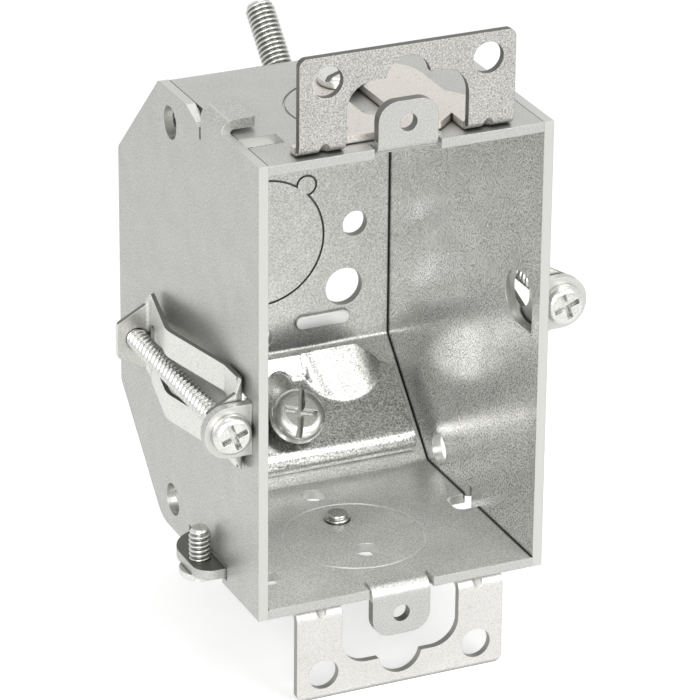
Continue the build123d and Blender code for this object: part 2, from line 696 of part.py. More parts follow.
def build_clamp(side):
    """Cable clamp lying over one bevel: plate with two arches, a flared rear edge and a curled lip."""
    low_face = sheet + clamp_lift
    high_face = low_face + clamp_sheet
    foot = sheet + clamp_seat
    raised = build_arches(side, high_face)
    hollow = build_arches(side, low_face)
    base = bevel_plane(side, 0)
    with BuildPart() as clamp:
        with BuildSketch(Plane(origin=base.origin, x_dir=base.y_dir, z_dir=base.x_dir)) as clamp_section:
            with BuildLine():
                upper = [(-clamp_top, high_face + flare_rise), (-flare_end, high_face)]
                upper += [(-clamp_bottom, high_face), (-clamp_bottom, foot)]
                lower = [(-clamp_bottom + clamp_sheet, foot), (-clamp_bottom + clamp_sheet, low_face)]
                lower += [(-flare_end, low_face), (-clamp_top, low_face + flare_rise)]
                Polyline(*upper, *lower, close=True)
            make_face()
            curl = clamp_section.vertices().sort_by_distance((-clamp_bottom, high_face))[0]
            fillet(curl, clamp_sheet + clamp_curl)
            root = clamp_section.vertices().sort_by_distance((-clamp_bottom + clamp_sheet, low_face))[0]
            fillet(root, clamp_curl)
            fillet(clamp_section.vertices().sort_by_distance((-flare_end, high_face))[0], flare_bend)
            under = clamp_section.vertices().sort_by_distance((-flare_end, low_face))[0]
            fillet(under, flare_bend + clamp_sheet)
        extrude(amount=clamp_half, both=True)
        add(raised)
        add(hollow, mode=Mode.SUBTRACT)

        # Rear corners cut off, the throat hole and the screw hole
        with BuildSketch(bevel_plane(side, low_face)):
            for end in (1, -1):
                with BuildLine():
                    inner = (end * (clamp_half - clamp_corner_width), -clamp_top)
                    outer = (end * clamp_half, -clamp_top - clamp_corner_length)
                    beyond = (end * (clamp_half + cut_margin), -clamp_top - clamp_corner_length)
                    above = (end * (clamp_half + cut_margin), cut_margin)
                    over = (end * (clamp_half - clamp_corner_width), cut_margin)
                    Polyline(inner, outer, beyond, above, over, close=True)
                make_face()
            with Locations((0, -throat_hole_s)):
                Circle(throat_hole_radius)
            with Locations((0, -clamp_screw_s)):
                Circle(clamp_screw_radius + shank_clearance)
        extrude(amount=clamp_sheet + arch_rise, mode=Mode.SUBTRACT)
    return clamp.part


def build_clamp_screw(side):
    """Clamp screw with a domed head, standing square to one bevel."""
    with BuildPart() as screw:
        head_plane = bevel_plane(side, sheet + clamp_head_lift)
        with BuildSketch(head_plane):
            with Locations((0, -clamp_screw_s)):
                Circle(clamp_head_radius)
        extrude(amount=clamp_head_height)
        inward = Axis(head_plane.origin, head_plane.z_dir)
        rim = screw.faces().sort_by(inward)[-1].edges()
        fillet(rim, clamp_head_round)
        with BuildSketch(head_plane):
            with Locations((0, -clamp_screw_s)):
                Circle(clamp_screw_radius)
        extrude(amount=-clamp_screw_length)
        point = screw.faces().sort_by(inward)[0].edges()
        chamfer(point, screw_point)
        with BuildSketch(head_plane.offset(clamp_head_height)):
            with Locations((0, -clamp_screw_s)):
                Rectangle(slot_span, slot_width, rotation=clamp_slot_turn)
                Rectangle(clamp_cross_length, slot_width, rotation=clamp_slot_turn + 90)
        extrude(amount=-clamp_slot_depth, mode=Mode.SUBTRACT)
    return screw.part


with BuildPart() as top_cable_clamp:
    add(build_clamp(1))
with BuildPart() as bottom_cable_clamp:
    add(build_clamp(-1))
with BuildPart() as top_clamp_screw:
    add(build_clamp_screw(1))
with BuildPart() as bottom_clamp_screw:
    add(build_clamp_screw(-1))

box_body.part.label = "box_body"
left_side_plate.part.label = "left_side_plate"
right_side_plate.part.label = "right_side_plate"
left_clip.part.label = "left_clip"
right_clip.part.label = "right_clip"
left_clip_screw.part.label = "left_clip_screw"
right_clip_screw.part.label = "right_clip_screw"
top_ear.part.label = "top_ear"
bottom_ear.part.label = "bottom_ear"
top_ear_screw.part.label = "top_ear_screw"
bottom_ear_screw.part.label = "bottom_ear_screw"
top_cable_clamp.part.label = "top_cable_clamp"
bottom_cable_clamp.part.label = "bottom_cable_clamp"
top_clamp_screw.part.label = "top_clamp_screw"
bottom_clamp_screw.part.label = "bottom_clamp_screw"
left_gang_screw.part.label = "left_gang_screw"

export_step(box_body.part, "parts/box_body.step")
export_step(left_side_plate.part, "parts/left_side_plate.step")
export_step(right_side_plate.part, "parts/right_side_plate.step")
export_step(left_clip.part, "parts/left_clip.step")
export_step(right_clip.part, "parts/right_clip.step")
export_step(left_clip_screw.part, "parts/left_clip_screw.step")
export_step(right_clip_screw.part, "parts/right_clip_screw.step")
export_step(top_ear.part, "parts/top_ear.step")
export_step(bottom_ear.part, "parts/bottom_ear.step")
export_step(top_ear_screw.part, "parts/top_ear_screw.step")
export_step(bottom_ear_screw.part, "parts/bottom_ear_screw.step")
export_step(top_cable_clamp.part, "parts/top_cable_clamp.step")
export_step(bottom_cable_clamp.part, "parts/bottom_cable_clamp.step")
export_step(top_clamp_screw.part, "parts/top_clamp_screw.step")
export_step(bottom_clamp_screw.part, "parts/bottom_clamp_screw.step")
export_step(left_gang_screw.part, "parts/left_gang_screw.step")
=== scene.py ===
import json
import math

import bmesh
import bpy
from mathutils import Matrix, Vector


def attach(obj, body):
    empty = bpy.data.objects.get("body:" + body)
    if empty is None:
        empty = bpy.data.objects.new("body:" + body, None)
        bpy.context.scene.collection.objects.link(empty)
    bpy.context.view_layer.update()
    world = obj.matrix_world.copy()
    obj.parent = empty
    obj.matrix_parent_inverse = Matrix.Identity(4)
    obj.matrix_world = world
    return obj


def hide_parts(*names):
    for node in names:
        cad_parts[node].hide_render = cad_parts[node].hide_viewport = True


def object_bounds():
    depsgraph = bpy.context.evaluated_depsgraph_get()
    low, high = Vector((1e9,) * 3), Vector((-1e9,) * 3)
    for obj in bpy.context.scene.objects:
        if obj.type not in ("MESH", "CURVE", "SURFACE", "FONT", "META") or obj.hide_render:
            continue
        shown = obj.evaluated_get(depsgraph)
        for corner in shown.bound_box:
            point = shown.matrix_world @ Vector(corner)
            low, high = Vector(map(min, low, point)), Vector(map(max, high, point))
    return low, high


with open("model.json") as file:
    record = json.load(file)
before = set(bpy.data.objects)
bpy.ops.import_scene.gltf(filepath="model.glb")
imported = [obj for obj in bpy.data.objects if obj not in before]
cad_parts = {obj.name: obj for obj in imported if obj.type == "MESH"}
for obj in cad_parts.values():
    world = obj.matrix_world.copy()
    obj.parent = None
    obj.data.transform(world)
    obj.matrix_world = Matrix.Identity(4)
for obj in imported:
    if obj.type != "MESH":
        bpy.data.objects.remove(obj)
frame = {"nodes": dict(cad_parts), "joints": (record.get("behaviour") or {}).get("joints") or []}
cad_low, cad_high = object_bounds()
nodes = frame["nodes"]
joints = {joint["name"]: joint for joint in frame["joints"]}

MM = 0.001

# Screws: radius over the thread and thread pitch, in millimetres
CLIP_SCREW = (1.75, 1.27)
GANG_SCREW = (1.75, 0.794)
EAR_SCREW = (2.08, 0.794)
CLAMP_SCREW = (2.41, 0.794)
SCREWS = {
    "left_clip_screw": CLIP_SCREW,
    "right_clip_screw": CLIP_SCREW,
    "top_ear_screw": EAR_SCREW,
    "bottom_ear_screw": EAR_SCREW,
    "left_gang_screw": GANG_SCREW,
    "top_clamp_screw": CLAMP_SCREW,
    "bottom_clamp_screw": CLAMP_SCREW,
}

# Thread: depth as a share of the pitch, flat of the crest, and how many turns its point takes to run out
THREAD_DEPTH = 0.6
CREST = 1.25
RUN_OUT_TURNS = 1.2
STEPS_ROUND = 28
STEPS_PER_PITCH = 8

# The thread starts this far inside the screw's head, and vertices this near belong together
HEAD_OVERLAP = 0.3
WELD = 0.0005
NEAR = 0.01

# Share of painted shade in a thread for each millimetre of its depth
GROOVE_SHADE = 0.95

# Coat of the metal, in millimetres, and how far the cloudy tone and the shine swing with it
MOTTLE_MM = 5.0
MOTTLE = 0.35
SHINE_SWING = 0.3
GRAIN_MM = 0.27
GRAIN_HEIGHT_MM = 0.03
GRAIN_RELIEF = 0.08
SPECK_MM = 0.9
SPECK_FROM = (0.60, 0.70)
SPECK_TONE = "#7C7C78"
EDGE_MM = 0.18

# Painted shade in the corners: how far it reaches from a neighbouring surface
CREVICE_MM = 0.6

# A face whose normal leans less than this towards an axis counts as one that looks away from it
EDGE_TILT = 0.4

# Faces inside these distances belong to the inside of the box
INSIDE_X = 23.8
INSIDE_Y = (0.05, 56.3)
INSIDE_Z = 37.3

# Middle of the sheet, where only the cut walls of holes and slots lie: across, in height and in depth
WALL_X = (23.1, 24.5)
WALL_Z = (36.6, 38.0)
WALL_Y = (55.65, 57.05)
RIM_Y = 0.5
PANEL_Y = (2.6, 37.0)
PANEL_X = 22.9
BACK_Z = 18.5

# Flanges and tabs standing in front: before this depth and outside this height
FLANGE_Y = 1.55
FLANGE_Z = 39.0

# The open seam between the folded shell and a side plate, inside and outside
SEAM_X = 22.74
OUTER_SEAM_X = 22.87

# Rim of a side plate, crests of the pressed ribs, knockout rings (centre depth, radii) and the lug
RIM_X = 23.02
RIB_Y = (54.70, 54.95)
RIB_Z = 17.5
RING_Y = 18.3
RING_RADII = (11.32, 11.73)
RING_Z = (36.4, 37.1)
LUG_X = -24.62
LUG_Z = -34.0

# The tongue of an ear starts this far behind the front opening
TONGUE_Y = 2.2

# Cable clamp, in millimetres: x across, s down the bevel from the back fold, h above its outer face
BOX_DEPTH = 57.15
BEVEL_TOP = 20.64
CLAMP_HALF = 20.8
CLAMP_TOP = 3.5
CLAMP_BOTTOM = 22.0
CLAMP_LOW = 3.6
CLAMP_SHEET = 1.3
CLAMP_FOOT = 1.7
CURL_INSIDE = 1.4
CURL_STEPS = 8
ARCH_X = 11.4
ARCH_S = 5.4
ARCH_HALF = 6.9
ARCH_RISE = 2.5
FLARE_RISE = 1.7
FLARE_END = 7.2
RAMP_POWER = 0.85
CLAMP_HOLES = ((14.5, 2.71), (7.9, 2.45))
HOLE_STEPS = 48
CLAMP_CORNER = (6.5, 4.4)
CLAMP_STEP = 0.35
CLAMP_SHARP = 38

# The cutters of the clamp start below its sheet, end above its arches and stand out past its edges
CUT_LOW = CLAMP_LOW - 1
CUT_HIGH = CLAMP_LOW + 5
CUT_MARGIN = 1

# Light of the room that fills the shadows, and half the floor's side in metres
ROOM_LIGHT = 0.45
FLOOR_HALF = 3.0

# The floor runs out into the white of the room between these distances from the box, in metres
FLOOR_FADE = (0.12, 0.35)


def linear(hex_colour):
    """Linear colour of an sRGB hex value."""
    parts = [int(hex_colour[i:i + 2], 16) / 255 for i in (1, 3, 5)]
    return tuple(c / 12.92 if c <= 0.04045 else ((c + 0.055) / 1.055) ** 2.4 for c in parts) + (1.0,)


def add_node(tree, kind, links=None, **settings):
    """Adds one node. Links go by input name or number: another node's output, or a value."""
    made = tree.nodes.new(kind)
    for name, value in settings.items():
        setattr(made, name, value)
    for name, value in (links or {}).items():
        if isinstance(value, bpy.types.NodeSocket):
            tree.links.new(value, made.inputs[name])
        else:
            made.inputs[name].default_value = value
    return made


def new_material(name):
    """An empty node material and its tree."""
    material = bpy.data.materials.new(name)
    material.use_nodes = True
    material.node_tree.nodes.clear()
    return material, material.node_tree


def below(tree, value, limit):
    """1 where the value lies below a limit in millimetres."""
    return add_node(tree, "ShaderNodeMath", {0: value, 1: limit * MM}, operation="LESS_THAN").outputs[0]


def above(tree, value, limit):
    """1 where the value lies above a limit in millimetres."""
    return add_node(tree, "ShaderNodeMath", {0: value, 1: limit * MM}, operation="GREATER_THAN").outputs[0]


def all_of(tree, first, *others):
    """1 where every mask is 1."""
    for other in others:
        first = add_node(tree, "ShaderNodeMath", {0: first, 1: other}, operation="MULTIPLY").outputs[0]
    return first


def any_of(tree, first, *others):
    """1 where one of the masks is 1."""
    for other in others:
        first = add_node(tree, "ShaderNodeMath", {0: first, 1: other}, operation="MAXIMUM").outputs[0]
    return first


def between(tree, value, limits):
    """1 where the value lies between two limits in millimetres."""
    return all_of(tree, above(tree, value, limits[0]), below(tree, value, limits[1]))


def whereabouts(tree, place):
    """Distance from the middle plane, depth behind the opening and distance from mid height."""
    x, y, z = add_node(tree, "ShaderNodeSeparateXYZ", {"Vector": place}).outputs
    side = add_node(tree, "ShaderNodeMath", {0: x}, operation="ABSOLUTE").outputs[0]
    height = add_node(tree, "ShaderNodeMath", {0: z}, operation="ABSOLUTE").outputs[0]
    return side, y, height


def facing(tree, axis):
    """How squarely a face looks along one axis, either way."""
    normal = add_node(tree, "ShaderNodeTexCoord").outputs["Normal"]
    parts = add_node(tree, "ShaderNodeSeparateXYZ", {"Vector": normal})
    return add_node(tree, "ShaderNodeMath", {0: parts.outputs[axis]}, operation="ABSOLUTE").outputs[0]


def looks_along(tree, axis):
    """1 on faces that look along an axis."""
    links = {0: facing(tree, axis), 1: 1 - EDGE_TILT}
    return add_node(tree, "ShaderNodeMath", links, operation="GREATER_THAN").outputs[0]


def looks_away_from(tree, axis):
    """1 on faces that look away from an axis."""
    links = {0: facing(tree, axis), 1: EDGE_TILT}
    return add_node(tree, "ShaderNodeMath", links, operation="LESS_THAN").outputs[0]


def shown_to_eye(tree):
    """1 for rays from the camera, off a shine or through glass, 0 for the light that fills the room."""
    path = add_node(tree, "ShaderNodeLightPath").outputs
    return any_of(tree, path["Is Camera Ray"], path["Is Glossy Ray"], path["Is Transmission Ray"])


def inside_mask(tree, place):
    """1 on the faces that look into the box, 0 on its outside."""
    side, depth, height = whereabouts(tree, place)
    return all_of(
        tree, below(tree, side, INSIDE_X), below(tree, height, INSIDE_Z), between(tree, depth, INSIDE_Y))


def hole_wall_mask(tree, place):
    """1 on the walls of holes and slots in the side plates and panels: painted light in the shell, painted
    shade in the side plates.
    """
    side, depth, height = whereabouts(tree, place)
    in_plate = all_of(
        tree, between(tree, side, WALL_X), below(tree, height, WALL_Z[0]), above(tree, depth, RIM_Y))
    in_panel = all_of(
        tree, between(tree, height, WALL_Z), below(tree, side, PANEL_X), between(tree, depth, PANEL_Y))
    return any_of(tree, in_plate, in_panel)


def back_hole_shade_mask(tree, place):
    """1 on the walls of the holes in the back, painted dark as painted shade."""
    depth, height = whereabouts(tree, place)[1:]
    return all_of(tree, between(tree, depth, WALL_Y), below(tree, height, BACK_Z))


def rib_highlight_mask(tree, place):
    """1 on the crests of the pressed ribs, painted white as a painted highlight."""
    depth, height = whereabouts(tree, place)[1:]
    return all_of(tree, between(tree, depth, RIB_Y), below(tree, height, RIB_Z))


def ring_light_mask(tree, place):
    """1 in the knockout rings of the two panels, painted white as painted light that lifts the shade in
    their grooves.
    """
    side, depth, height = whereabouts(tree, place)
    behind = add_node(tree, "ShaderNodeMath", {0: depth, 1: RING_Y * MM}, operation="SUBTRACT").outputs[0]
    flat = add_node(tree, "ShaderNodeCombineXYZ", {"X": side, "Y": behind}).outputs[0]
    radius = add_node(tree, "ShaderNodeVectorMath", {0: flat}, operation="LENGTH").outputs["Value"]
    return all_of(tree, between(tree, radius, RING_RADII), between(tree, height, RING_Z))


def rim_mask(tree, place):
    """1 on the cut rim of a side plate, which gets a set pale tone."""
    side = whereabouts(tree, place)[0]
    return all_of(tree, above(tree, side, RIM_X), looks_away_from(tree, "X"))


def strap_edge_mask(tree, place):
    """1 on the cut edges of a spring strap."""
    return looks_along(tree, "Z")


def lug_shade_mask(tree, place):
    """1 on the flat of the gang lug, painted darker as painted shade."""
    parts = add_node(tree, "ShaderNodeSeparateXYZ", {"Vector": place}).outputs
    outside = all_of(tree, below(tree, parts["X"], LUG_X), below(tree, parts["Z"], LUG_Z))
    return all_of(tree, looks_along(tree, "Z"), outside)


def groove_shade_mask(tree, place):
    """Rises into the roots of a thread, painted dark as painted shade: the deeper the groove, the more."""
    depth = add_node(tree, "ShaderNodeAttribute", attribute_name="groove_mm").outputs["Fac"]
    return add_node(tree, "ShaderNodeMath", {0: depth, 1: GROOVE_SHADE}, operation="MULTIPLY").outputs[0]


def sheared_edge_mask(tree, place):
    """1 on the cut edges of the flanges and tabs that stand up in the plane of the opening."""
    depth, height = whereabouts(tree, place)[1:]
    in_flange = all_of(tree, below(tree, depth, FLANGE_Y), above(tree, height, FLANGE_Z))
    return all_of(tree, looks_away_from(tree, "Y"), in_flange)


def seam_shade_mask(tree, place):
    """1 on the strip of the shell along each side plate, where the two don't quite meet; painted near black
    as the painted shade of the gap.
    """
    side, depth = whereabouts(tree, place)[:2]
    inner = all_of(tree, above(tree, side, SEAM_X), inside_mask(tree, place))
    outer = all_of(tree, between(tree, side, (OUTER_SEAM_X, RIM_X)), above(tree, depth, RIM_Y))
    return any_of(tree, inner, outer)


def tongue_mask(tree, place):
    """1 on the tongue of an ear, 0 on its front flange."""
    return above(tree, whereabouts(tree, place)[1], TONGUE_Y)


def swing(tree, pattern, reach):
    """How far a pattern leaves its middle, times a reach."""
    off = add_node(tree, "ShaderNodeMath", {0: pattern, 1: 0.5}, operation="SUBTRACT").outputs[0]
    return add_node(tree, "ShaderNodeMath", {0: off, 1: reach}, operation="MULTIPLY").outputs[0]


def layered(tree, colour, layers):
    """The colour with the tone of each layer laid over it, as thick as the layer's mask says."""
    for mask, tone in layers:
        links = {"Factor": mask, 6: colour, 7: tone}
        colour = add_node(tree, "ShaderNodeMix", links, data_type="RGBA").outputs[2]
    return colour


def zinc_surface(name, pale, dark, roughness, metallic, grain, speck, second=None, mask_of=inside_mask,
                 crevice_shade="#3A3A37", sharpness=1.8, bare_and_painted_light=()):
    """Zinc-coated steel: mottled coat, sandy grain, dark specks, rounded edges and painted shade in
    corners.

    The grain of a real coat is about 0.05 mm. It is drawn at GRAIN_MM, coarse enough to show.
    second gives the paler tone, darker tone, grain and roughness of the faces that mask_of picks out.
    crevice_shade is the tone of the painted shade in the corners and sharpness how close it keeps to them.
    Each pair in bare_and_painted_light names a mask and the tone it lays on the coat: cut edges, painted
    light and shade.
    """
    material, tree = new_material(name)
    place = add_node(tree, "ShaderNodeTexCoord").outputs["Object"]
    mottle = add_node(tree, "ShaderNodeTexNoise", {
        "Vector": place, "Scale": 1 / (MOTTLE_MM * MM), "Detail": 3.0, "Roughness": 0.55}).outputs["Fac"]
    sand = add_node(tree, "ShaderNodeTexNoise", {
        "Vector": place, "Scale": 1 / (GRAIN_MM * MM), "Detail": 1.0, "Roughness": 0.7}).outputs["Fac"]
    specks = add_node(tree, "ShaderNodeTexNoise", {
        "Vector": place, "Scale": 1 / (SPECK_MM * MM), "Detail": 4.0, "Roughness": 0.8}).outputs["Fac"]
    tone_dark, tone_pale = linear(dark), linear(pale)
    if second:
        mask = mask_of(tree, place)
        grain = add_node(tree, "ShaderNodeMapRange", {
            "Value": mask, "To Min": grain, "To Max": second[2]}).outputs["Result"]
        roughness = add_node(tree, "ShaderNodeMapRange", {
            "Value": mask, "To Min": roughness, "To Max": second[3]}).outputs["Result"]
        tone_dark = layered(tree, tone_dark, [(mask, linear(second[1]))])
        tone_pale = layered(tree, tone_pale, [(mask, linear(second[0]))])
    cloud = swing(tree, mottle, MOTTLE)
    both = add_node(tree, "ShaderNodeMath", {0: cloud, 1: swing(tree, sand, grain)}, operation="ADD")
    blend = add_node(tree, "ShaderNodeMath", {0: both.outputs[0], 1: 0.5}, operation="ADD").outputs[0]
    speckled = add_node(tree, "ShaderNodeMapRange", {
        "Value": specks, "From Min": SPECK_FROM[0], "From Max": SPECK_FROM[1],
        "To Max": speck}).outputs["Result"]
    coat = layered(tree, tone_dark, [(blend, tone_pale), (speckled, linear(SPECK_TONE))])
    # Ambient occlusion pulls the colour towards crevice_shade in corners: painted shade
    near = add_node(tree, "ShaderNodeAmbientOcclusion", {"Distance": CREVICE_MM * MM}, samples=6)
    clear = add_node(tree, "ShaderNodeMath", {0: near.outputs["AO"], 1: sharpness}, operation="POWER")
    # These layers lay the tone of cut edges and painted light and shade over the coat
    bare_and_light_layers = [(bare_and_light_mask(tree, place), linear(tone)) for bare_and_light_mask, tone in bare_and_painted_light]
    colour = layered(tree, linear(crevice_shade), [(clear.outputs[0], coat)] + bare_and_light_layers)
    shine = add_node(tree, "ShaderNodeMath", {0: cloud, 1: SHINE_SWING}, operation="MULTIPLY").outputs[0]
    rough = add_node(tree, "ShaderNodeMath", {0: roughness, 1: shine}, operation="SUBTRACT").outputs[0]
    edge = add_node(tree, "ShaderNodeBevel", {"Radius": EDGE_MM * MM}, samples=4)
    bump = add_node(tree, "ShaderNodeBump", {
        "Height": sand, "Strength": GRAIN_RELIEF, "Distance": GRAIN_HEIGHT_MM * MM,
        "Normal": edge.outputs[0]})
    shader = add_node(tree, "ShaderNodeBsdfPrincipled", {
        "Base Color": colour, "Metallic": metallic, "Roughness": rough, "Normal": bump.outputs[0]})
    add_node(tree, "ShaderNodeOutputMaterial", {"Surface": shader.outputs[0]})
    return material


# Hot-dip galvanised sheet of the folded shell: an even pale grey with a fine sandy grain; its faces inside
# the box are painted paler, as painted light
shell_sheet = zinc_surface(
    "galvanised_sheet_shell", "#C9C9C6", "#A8A8A4", 0.38, 0.7, 1.9, 0.1,
    ("#FFFFFD", "#AEAEA9", 1.8, 0.36), crevice_shade="#5E5E5A",
    # Painted light on the hole walls, rib crests and knockout rings; painted shade on the back hole walls,
    # seam and lug; cut metal on sheared edges
    bare_and_painted_light=(
        (hole_wall_mask, "#D2D2CE"), (back_hole_shade_mask, "#74746F"), (seam_shade_mask, "#20201E"),
        (sheared_edge_mask, "#6C6C67"), (rib_highlight_mask, "#FFFFFF"), (ring_light_mask, "#FFFFFF"),
        (lug_shade_mask, "#74746F")))
# The same sheet in the side plates: coarser sand inside, painted paler there as painted light, and glossy
# enough to mirror the clamp softly
plate_sheet = zinc_surface(
    "galvanised_sheet_plate", "#C9C9C6", "#A4A4A0", 0.36, 0.7, 2.6, 0.1,
    ("#FFFFFD", "#92928D", 2.6, 0.25),
    # A set pale tone on the rim and painted shade on the hole walls
    bare_and_painted_light=((rim_mask, "#C6C6C2"), (hole_wall_mask, "#A8A8A3")))
# Galvanised strip of the top ear: greyer, with a strong dark speckle; its tongue is cleaner and warm
mottled_strip = zinc_surface(
    "mottled_galvanised_strip", "#D2D1CD", "#898883", 0.42, 0.7, 2.4, 0.8,
    ("#E8E3DC", "#CAC5BD", 1.8, 0.40), tongue_mask,
    bare_and_painted_light=((sheared_edge_mask, "#60605B"),))
# Galvanised strip of the bottom ear: the same strip, painted paler as painted light from the bright floor
# below
pale_strip = zinc_surface(
    "pale_galvanised_strip", "#E0DFDC", "#BCBBB7", 0.44, 0.6, 1.6, 0.25,
    bare_and_painted_light=((sheared_edge_mask, "#989893"),))
# Spring steel strip, zinc plated: bright with a satin shine
plated_spring = zinc_surface(
    "plated_spring_steel", "#EEEEEA", "#C6C6C1", 0.34, 0.9, 1.6, 0.3, sharpness=2.6,
    bare_and_painted_light=((strap_edge_mask, "#73736E"),))
# Pressed plate, zinc plated: mirrors the room on its arches, dark and sandy on the flat
pressed_plate = zinc_surface("zinc_plated_pressing", "#F4F4F2", "#7E7E7A", 0.24, 1.0, 2.2, 0.1)
# Machine screws, bright zinc plated, with painted shade in their threads and corners
bright_zinc = zinc_surface(
    "bright_zinc_screw", "#F0F0ED", "#BCBCB7", 0.24, 1.0, 1.2, 0.2, crevice_shade="#8E8E8A", sharpness=2.2,
    bare_and_painted_light=((groove_shade_mask, "#2C2C29"),))

FINISHES = {
    "box_body": shell_sheet,
    "left_side_plate": plate_sheet,
    "right_side_plate": plate_sheet,
    "left_clip": plated_spring,
    "right_clip": plated_spring,
    "top_ear": mottled_strip,
    "bottom_ear": pale_strip,
    "top_cable_clamp": pressed_plate,
    "bottom_cable_clamp": pressed_plate,
}


def finish_sheet_pieces():
    """Gives each sheet piece its material."""
    for name, material in FINISHES.items():
        piece = nodes[name]
        piece.data.materials.clear()
        piece.data.materials.append(material)


def piece_from(mesh, name):
    """Turns a finished bmesh into an object in the scene."""
    data = bpy.data.meshes.new(name)
    mesh.to_mesh(data)
    mesh.free()
    piece = bpy.data.objects.new(name, data)
    bpy.context.scene.collection.objects.link(piece)
    return piece


def on_bevel(side, x, s, h):
    """Place in the frame of a point on one bevel, side 1 the upper and -1 the lower."""
    diagonal = math.sqrt(0.5)
    y = BOX_DEPTH - diagonal * (s + h)
    z = side * (BEVEL_TOP + diagonal * (s - h))
    return Vector((side * x, y, z)) * MM


def clamp_height(x, s):
    """How far the pressing stands above the flat: a flared rear edge that runs out in two rounded ramps."""
    off = abs(x) - ARCH_X
    swell = math.sqrt(max(0.0, 1 - (off / ARCH_HALF) ** 2))
    rear = FLARE_RISE + (ARCH_RISE - FLARE_RISE) * swell
    if off > 0:
        rear = ARCH_RISE * swell
    front = max(FLARE_END, ARCH_S + ARCH_HALF * swell)
    return rear * max(0.0, (front - s) / (front - CLAMP_TOP)) ** RAMP_POWER


def clamp_profile():
    """Rows along the clamp, from its rear edge to the foot of its lip.

    Each row is its upper (s, h), its lower (s, h) and the s at which the height of the pressing is taken.
    """
    rows = []
    flat_end = CLAMP_BOTTOM - CLAMP_SHEET - CURL_INSIDE
    count = round((flat_end - CLAMP_TOP) / CLAMP_STEP)
    for row in range(count + 1):
        s = CLAMP_TOP + (flat_end - CLAMP_TOP) * row / count
        rows.append(((s, CLAMP_LOW + CLAMP_SHEET), (s, CLAMP_LOW), s))
    centre = CLAMP_LOW - CURL_INSIDE
    for turn in range(1, CURL_STEPS + 1):
        angle = math.pi / 2 * turn / CURL_STEPS
        outer, inner = CURL_INSIDE + CLAMP_SHEET, CURL_INSIDE
        high = (flat_end + outer * math.sin(angle), centre + outer * math.cos(angle))
        low = (flat_end + inner * math.sin(angle), centre + inner * math.cos(angle))
        rows.append((high, low, flat_end))
    rows.append(((CLAMP_BOTTOM, CLAMP_FOOT), (CLAMP_BOTTOM - CLAMP_SHEET, CLAMP_FOOT), flat_end))
    return rows


def pressed_sheet(side):
    """The closed sheet of a clamp with its arches and curled lip, still without holes."""
    across = round(2 * CLAMP_HALF / CLAMP_STEP)
    rows = clamp_profile()
    mesh = bmesh.new()
    levels = []
    for level in (0, 1):
        grid = []
        for row in rows:
            s, h = row[level]
            line = []
            for step in range(across + 1):
                x = -CLAMP_HALF + 2 * CLAMP_HALF * step / across
                lift = clamp_height(x, row[2]) if row[2] < FLARE_END + ARCH_HALF else 0.0
                line.append(mesh.verts.new(on_bevel(side, x, s, h + lift)))
            grid.append(line)
        levels.append(grid)
    top, bottom = levels
    last = len(rows) - 1
    for r in range(last):
        for c in range(across):
            mesh.faces.new((top[r][c], top[r + 1][c], top[r + 1][c + 1], top[r][c + 1]))
            mesh.faces.new((bottom[r][c], bottom[r][c + 1], bottom[r + 1][c + 1], bottom[r + 1][c]))
        for c in (0, across):
            mesh.faces.new((top[r][c], bottom[r][c], bottom[r + 1][c], top[r + 1][c]))
    for c in range(across):
        for r in (0, last):
            mesh.faces.new((top[r][c], top[r][c + 1], bottom[r][c + 1], bottom[r][c]))
    bmesh.ops.recalc_face_normals(mesh, faces=mesh.faces)
    return mesh


def column(mesh, side, outline):
    """Adds a closed prism that stands square to the bevel, for cutting the clamp."""
    foot = [mesh.verts.new(on_bevel(side, x, s, CUT_LOW)) for x, s in outline]
    head = [mesh.verts.new(on_bevel(side, x, s, CUT_HIGH)) for x, s in outline]
    count = len(outline)
    mesh.faces.new(list(reversed(foot)))
    mesh.faces.new(head)
    for i in range(count):
        mesh.faces.new((foot[i], foot[(i + 1) % count], head[(i + 1) % count], head[i]))


def clamp_cutters(side):
    """Columns for the two holes of a clamp and for the rear corners that are cut off."""
    mesh = bmesh.new()
    for s, radius in CLAMP_HOLES:
        turns = [2 * math.pi * i / HOLE_STEPS for i in range(HOLE_STEPS)]
        column(mesh, side, [(radius * math.cos(turn), s + radius * math.sin(turn)) for turn in turns])
    width, length = CLAMP_CORNER
    for end in (1, -1):
        inner, edge = end * (CLAMP_HALF - width), end * CLAMP_HALF
        beyond = end * (CLAMP_HALF + CUT_MARGIN)
        front, rear = CLAMP_TOP + length, CLAMP_TOP - CUT_MARGIN
        outline = [(inner, CLAMP_TOP), (edge, front), (beyond, front), (beyond, rear), (inner, rear)]
        column(mesh, side, outline)
    bmesh.ops.recalc_face_normals(mesh, faces=mesh.faces)
    return mesh


def pressed_clamp(node_name, body, side):
    """The clamp with its arches drawn into the sheet and ending at its rear edge."""
    piece = piece_from(pressed_sheet(side), node_name + "_pressed")
    cutter = piece_from(clamp_cutters(side), node_name + "_cutter")
    cut = piece.modifiers.new("holes", "BOOLEAN")
    cut.operation = "DIFFERENCE"
    cut.solver = "EXACT"
    cut.object = cutter
    bpy.context.view_layer.update()
    done = bpy.data.meshes.new_from_object(piece.evaluated_get(bpy.context.evaluated_depsgraph_get()))
    piece.modifiers.clear()
    piece.data = done
    bpy.data.objects.remove(cutter)
    done.shade_smooth()
    done.set_sharp_from_angle(angle=math.radians(CLAMP_SHARP))
    done.materials.clear()
    done.materials.append(pressed_plate)
    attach(piece, body)
    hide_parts(node_name)


def thread_radius(turn, major, minor):
    """Radius of a rounded thread at a fraction of one turn."""
    wave = 0.5 + 0.5 * math.cos(2 * math.pi * turn)
    return minor + (major - minor) * min(1.0, wave * CREST)


